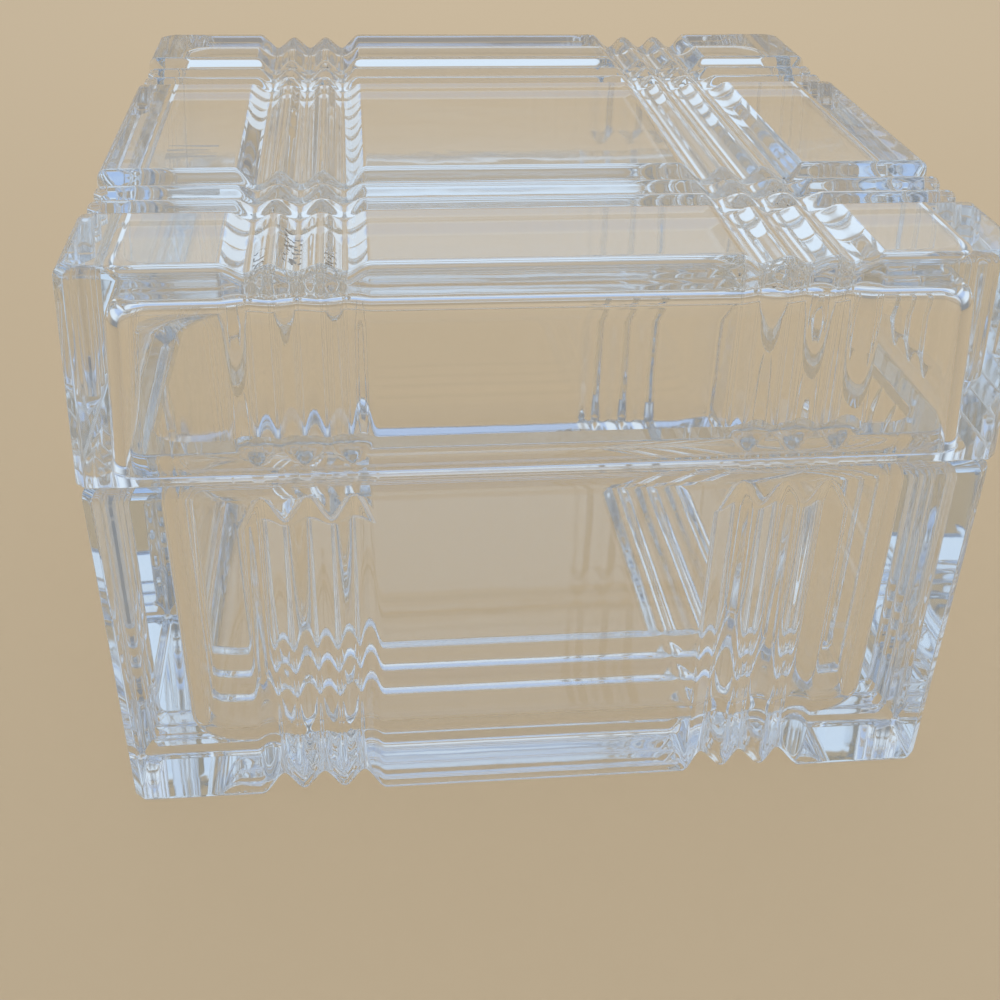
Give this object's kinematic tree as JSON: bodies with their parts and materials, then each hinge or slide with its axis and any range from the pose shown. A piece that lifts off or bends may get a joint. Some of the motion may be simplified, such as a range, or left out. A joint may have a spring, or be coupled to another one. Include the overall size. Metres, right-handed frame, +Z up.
{
  "type": "glass trinket box",
  "caption": "Square clear pressed-glass trinket box with a lift-off lid, grooved bands crossing in a plaid pattern, and a deep rounded pocket.",
  "frame": {"origin": "on the table under the middle of the box, in the plane of its foot", "axes": "+Z up, the front face towards -Y, the grooves parallel to X, Y and Z"},
  "size_m": [0.1096, 0.1096, 0.0754],
  "materials": {
    "base_glass": "clear polished pressed glass, faintly cool",
    "lid_glass": "clear polished pressed glass, faintly cool"
  },
  "bodies": {
    "base": {"box_base": "base_glass"},
    "lid": {"box_lid": "lid_glass"}
  },
  "joints": [
    {"name": "lid_lift", "type": "slide", "parent": "base", "child": "lid", "axis": [0, 0, 1], "range_m": [0, 0.06]}
  ]
}
